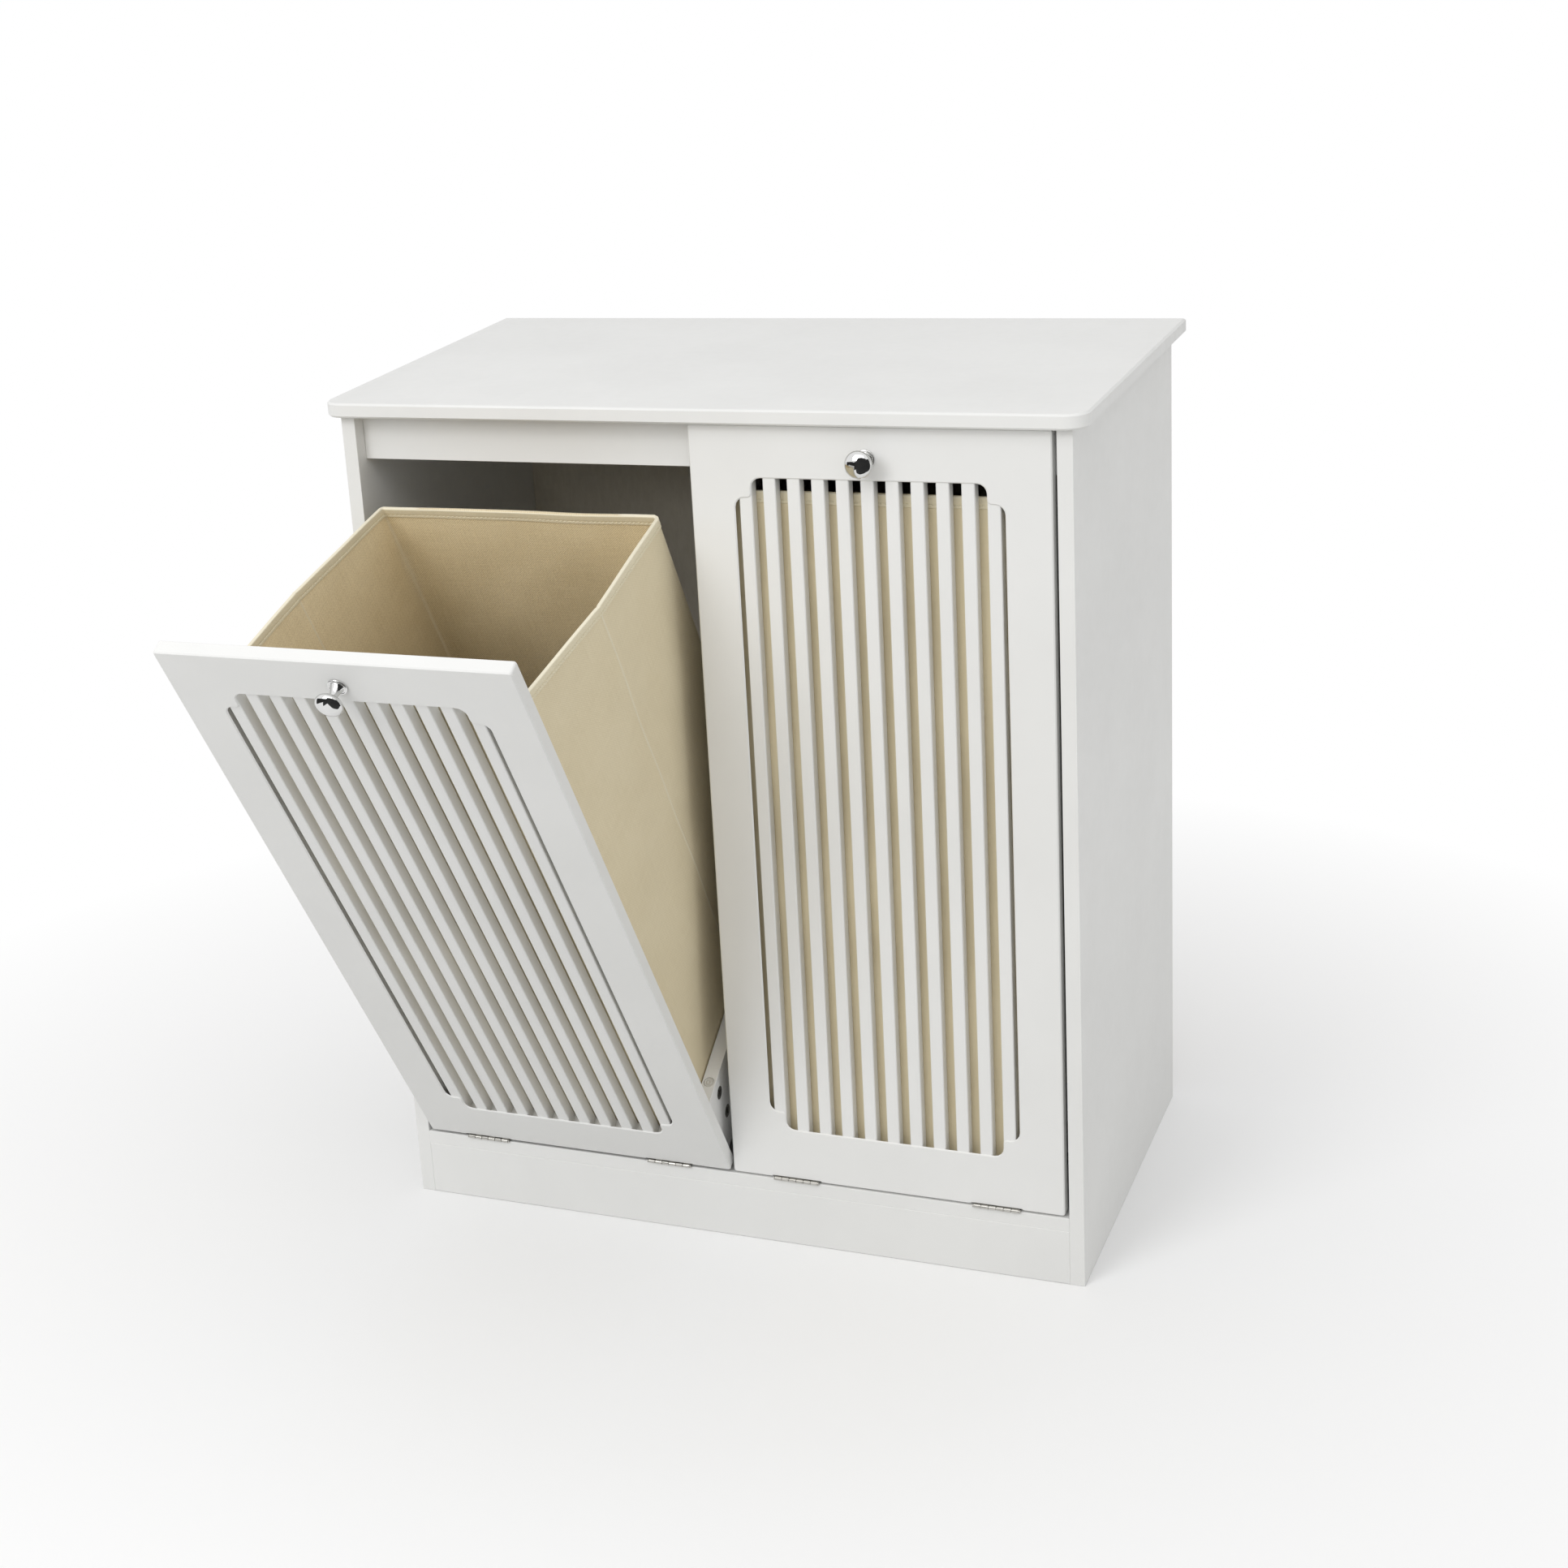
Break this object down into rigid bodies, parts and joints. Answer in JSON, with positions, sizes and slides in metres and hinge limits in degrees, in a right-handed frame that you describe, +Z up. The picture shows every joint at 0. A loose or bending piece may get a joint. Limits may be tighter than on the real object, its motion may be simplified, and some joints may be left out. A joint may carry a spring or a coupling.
{
  "type": "slatted door tilt-out laundry cabinet",
  "caption": "White cabinet with slatted doors that tip forward on bottom hinges, each carrying a tray and an open fabric bag.",
  "frame": {"origin": "on the floor, at the middle of the plinth's underside, midway across the width", "axes": "+Z up, doors face -Y, +Y towards the wall behind, +X to the right of someone facing the doors"},
  "size_m": [0.78, 0.8657, 0.9],
  "materials": {
    "white_board": "smooth white melamine, satin",
    "backing_board": "thin white-faced fibreboard, matt",
    "bag_canvas": "beige woven linen-look cloth over stiff walls",
    "knob_chrome": "polished",
    "hinge_steel": "nickel plated, satin",
    "cam_zinc": "dull zinc die casting",
    "plug_plastic": "moulded cover plug"
  },
  "bodies": {
    "cabinet": {"top_board": "white_board", "left_side_panel": "white_board", "right_side_panel": "white_board", "centre_partition": "white_board", "front_rail": "white_board", "bottom_board": "white_board", "plinth_board": "white_board", "back_panel": "backing_board", "left_hinge_left_fixed_leaf": "hinge_steel", "left_hinge_left_pin": "hinge_steel", "left_hinge_right_fixed_leaf": "hinge_steel", "left_hinge_right_pin": "hinge_steel", "left_inner_stop_block": "white_board", "left_outer_stop_block": "white_board", "right_hinge_left_fixed_leaf": "hinge_steel", "right_hinge_left_pin": "hinge_steel", "right_hinge_right_fixed_leaf": "hinge_steel", "right_hinge_right_pin": "hinge_steel", "right_inner_stop_block": "white_board", "right_outer_stop_block": "white_board"},
    "left_tilt": {"left_door": "white_board", "left_knob": "knob_chrome", "left_knob_screw": "hinge_steel", "left_hinge_left_door_leaf": "hinge_steel", "left_hinge_right_door_leaf": "hinge_steel", "left_tray_left_side": "white_board", "left_tray_left_plug": "plug_plastic", "left_tray_left_upper_cam": "cam_zinc", "left_tray_left_lower_cam": "cam_zinc", "left_tray_right_side": "white_board", "left_tray_right_plug": "plug_plastic", "left_tray_right_upper_cam": "cam_zinc", "left_tray_right_lower_cam": "cam_zinc", "left_tray_back": "white_board", "left_tray_floor": "backing_board", "left_bag": "bag_canvas"},
    "right_tilt": {"right_door": "white_board", "right_knob": "knob_chrome", "right_knob_screw": "hinge_steel", "right_hinge_left_door_leaf": "hinge_steel", "right_hinge_right_door_leaf": "hinge_steel", "right_tray_left_side": "white_board", "right_tray_left_plug": "plug_plastic", "right_tray_left_upper_cam": "cam_zinc", "right_tray_left_lower_cam": "cam_zinc", "right_tray_right_side": "white_board", "right_tray_right_plug": "plug_plastic", "right_tray_right_upper_cam": "cam_zinc", "right_tray_right_lower_cam": "cam_zinc", "right_tray_back": "white_board", "right_tray_floor": "backing_board", "right_bag": "bag_canvas"}
  },
  "joints": [
    {"name": "left_door_tilt", "type": "hinge", "parent": "cabinet", "child": "left_tilt", "pos_m": [-0.1786, -0.009, 0.07635], "axis": [1, 0, 0], "range_deg": [-31.3, 0]},
    {"name": "right_door_tilt", "type": "hinge", "parent": "cabinet", "child": "right_tilt", "pos_m": [0.1786, -0.009, 0.07635], "axis": [1, 0, 0], "range_deg": [0, 31.3]}
  ]
}
